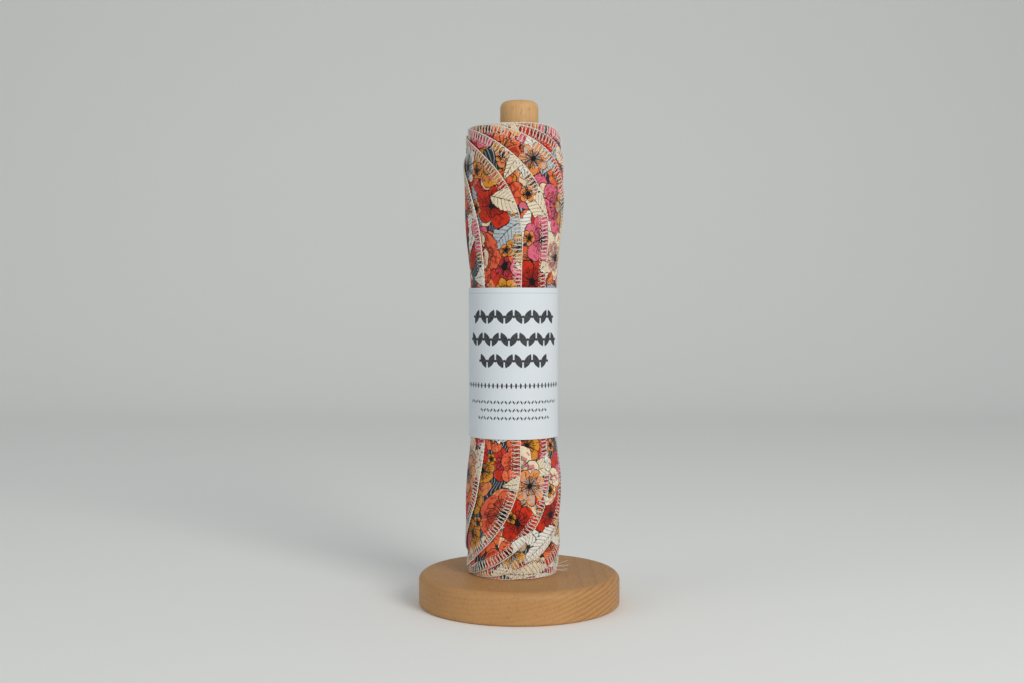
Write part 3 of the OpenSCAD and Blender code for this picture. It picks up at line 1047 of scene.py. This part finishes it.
# %% Beech material
FLECK_BROWN = colour(128, 82, 44)


def make_beech(name, upright, heart, ring_pitch, light, dark):
    """Beech with its grain along Z if upright and along Y if not; heart is the rings' middle."""
    material, t, surface = new_material(name, Specular_IOR_Level=0.35)
    x, y, z = t.parts(solid_place(t))
    along, beside = (z, y) if upright else (y, z)

    def grain(across, lengthwise, detail=2.0, roughness=0.5):
        place = t.xyz(x * across, beside * across, along * lengthwise)
        return t.noise(place, 1.0, detail, roughness)

    off_x = x - heart[0]
    off_y = beside - heart[1]
    out = t.root(off_x * off_x + off_y * off_y)
    ring = t.fraction(out / ring_pitch + grain(0.03, 0.006) * 1.6)
    marked = 0.22 + 0.78 * t.ramp(x, 8.0, 48.0)
    if not upright:
        end_grain = 1 - t.ramp(z, BASE_TOP / MM - 1.5, BASE_TOP / MM - 0.2)
        marked = marked * (0.3 + 0.7 * end_grain)
    late = ring ** 4.0 * marked
    fibres = grain(1.9, 0.1, 3.0, 0.6)
    # Rays run from the rings' middle outwards, so they are short upright dashes on end grain
    around = t.math("ARCTAN2", off_y, off_x) * math.hypot(*heart)
    rays = t.noise(t.xyz(around * 1.3, out * 0.34, along * 0.25), 1.0, 2.0)
    ray = t.ramp(rays, 0.56, 0.74)
    tone = late * 0.78 + ((fibres - 0.3) * 0.8 + grain(0.05, 0.02) * 0.35)
    wood = t.mix(ray * 0.34, t.mix(t.clamp(tone), light, dark), FLECK_BROWN)
    bump = (fibres - ray * 0.6, 0.12, 0.12 * MM)
    return finish_material(material, t, surface, wood, bump, 0.46 + fibres * 0.16)


base_beech = make_beech("base_beech", False, (-45.0, 240.0), 2.9, colour(198, 150, 95),
                        colour(150, 101, 55))
post_beech = make_beech("post_beech", True, (60.0, 34.0), 2.4, colour(222, 177, 121),
                        colour(176, 130, 82))

# %% [markdown]
# The screw under the post is hidden, but it has its finish too: zinc plating, a grey metal with a
# faint crystal pattern. The base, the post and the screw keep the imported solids' own shapes.

# %% Screw steel, and the solids that stay
def make_screw_steel():
    material, t, surface = new_material("zinc_plated_steel", Metallic=1.0)
    spangle = t.noise(solid_place(t), 1.8, 3.0)
    zinc = t.mix(spangle, colour(160, 162, 160), colour(206, 206, 200))
    bump = (spangle, 0.1, 0.05 * MM)
    return finish_material(material, t, surface, zinc, bump, 0.28 + spangle * 0.2)


dressed = {"stand_base": base_beech, "stand_post": post_beech, "post_screw": make_screw_steel()}
for node, material in dressed.items():
    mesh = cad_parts[node].data
    mesh.materials.clear()
    mesh.materials.append(material)
    print(node, "wears", material.name)

# %% [markdown]
# ## Attach every piece to the one body
# Every piece rides on the one body, the towels stand for the roll's solid and the strip for the
# band's. The towels are sheets of cloth, and the loop works out the flat area each was cut to.

# %% Pieces and bodies
for towel, hem, flat_height in towels:
    for piece in (towel, hem):
        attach(piece, "root")
        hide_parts("towel_roll")
    flat_area = TOWEL_LENGTH * flat_height - (4 - math.pi) * CORNER_R**2
for tail in tails:
    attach(tail, "root")
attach(paper_strip, "root")
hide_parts("paper_band")
print("pieces declared:", 2 * len(towels) + len(tails) + 1)

# %% [markdown]
# ## Floor, backdrop and lamps
# A pale sweep carries the object and its shadow. The photograph's light is soft and comes from the
# right, a little above the table, so the big lamp stands there and a weak one fills from the left.
# Both are narrowed a little, which keeps the floor beside them from glaring in other views.

# %% Sweep
def make_sweep():
    # In metres
    reach_front, reach_back, bend, top, half_width = -2.6, 1.3, 0.5, 2.6, 3.0
    steps = 16
    profile = [(reach_front, 0.0), (reach_back, 0.0)]
    for i in range(1, steps + 1):
        turn = math.pi / 2 * i / steps
        profile.append((reach_back + bend * math.sin(turn), bend * (1 - math.cos(turn))))
    profile.append((reach_back + bend, top))
    points = [(side * half_width, y, z) for y, z in profile for side in (-1, 1)]
    faces = [(2 * i, 2 * i + 1, 2 * i + 3, 2 * i + 2) for i in range(len(profile) - 1)]
    mesh = bpy.data.meshes.new("sweep")
    mesh.from_pydata(points, [], faces)
    for polygon in mesh.polygons:
        polygon.use_smooth = True
    material = new_material("sweep_paint", Base_Color=colour(245, 245, 242), Roughness=0.9,
                            Specular_IOR_Level=0.1)[0]
    mesh.materials.append(material)
    piece = put_in_scene("sweep", mesh)
    print("sweep:", len(faces), "faces")


make_sweep()

# %% Lamps
MIDDLE = (0.0, 0.0, 0.16)
LAMP_SPREAD = math.radians(110)


def area_lamp(name, place, size, power, tint):
    data = bpy.data.lights.new(name, "AREA")
    data.shape = "DISK"
    data.size = size
    data.energy = power
    data.color = tint
    data.spread = LAMP_SPREAD
    lamp = put_in_scene(name, data)
    lamp.location = place
    lamp.rotation_euler = (Vector(MIDDLE) - Vector(place)).to_track_quat("-Z", "Y").to_euler()
    print(name, "lamp:", power, "W")


area_lamp("window", (0.95, -1.45, 0.85), 0.9, 7.3, (1.0, 0.98, 0.95))
area_lamp("fill", (-1.5, -0.9, 0.7), 1.2, 1.6, (0.93, 0.96, 1.0))

world = bpy.data.worlds.new("room")
world.use_nodes = True
room = world.node_tree.nodes["Background"]
room.inputs["Color"].default_value = (0.86, 0.9, 0.92, 1.0)
room.inputs["Strength"].default_value = 0.46
bpy.context.scene.world = world
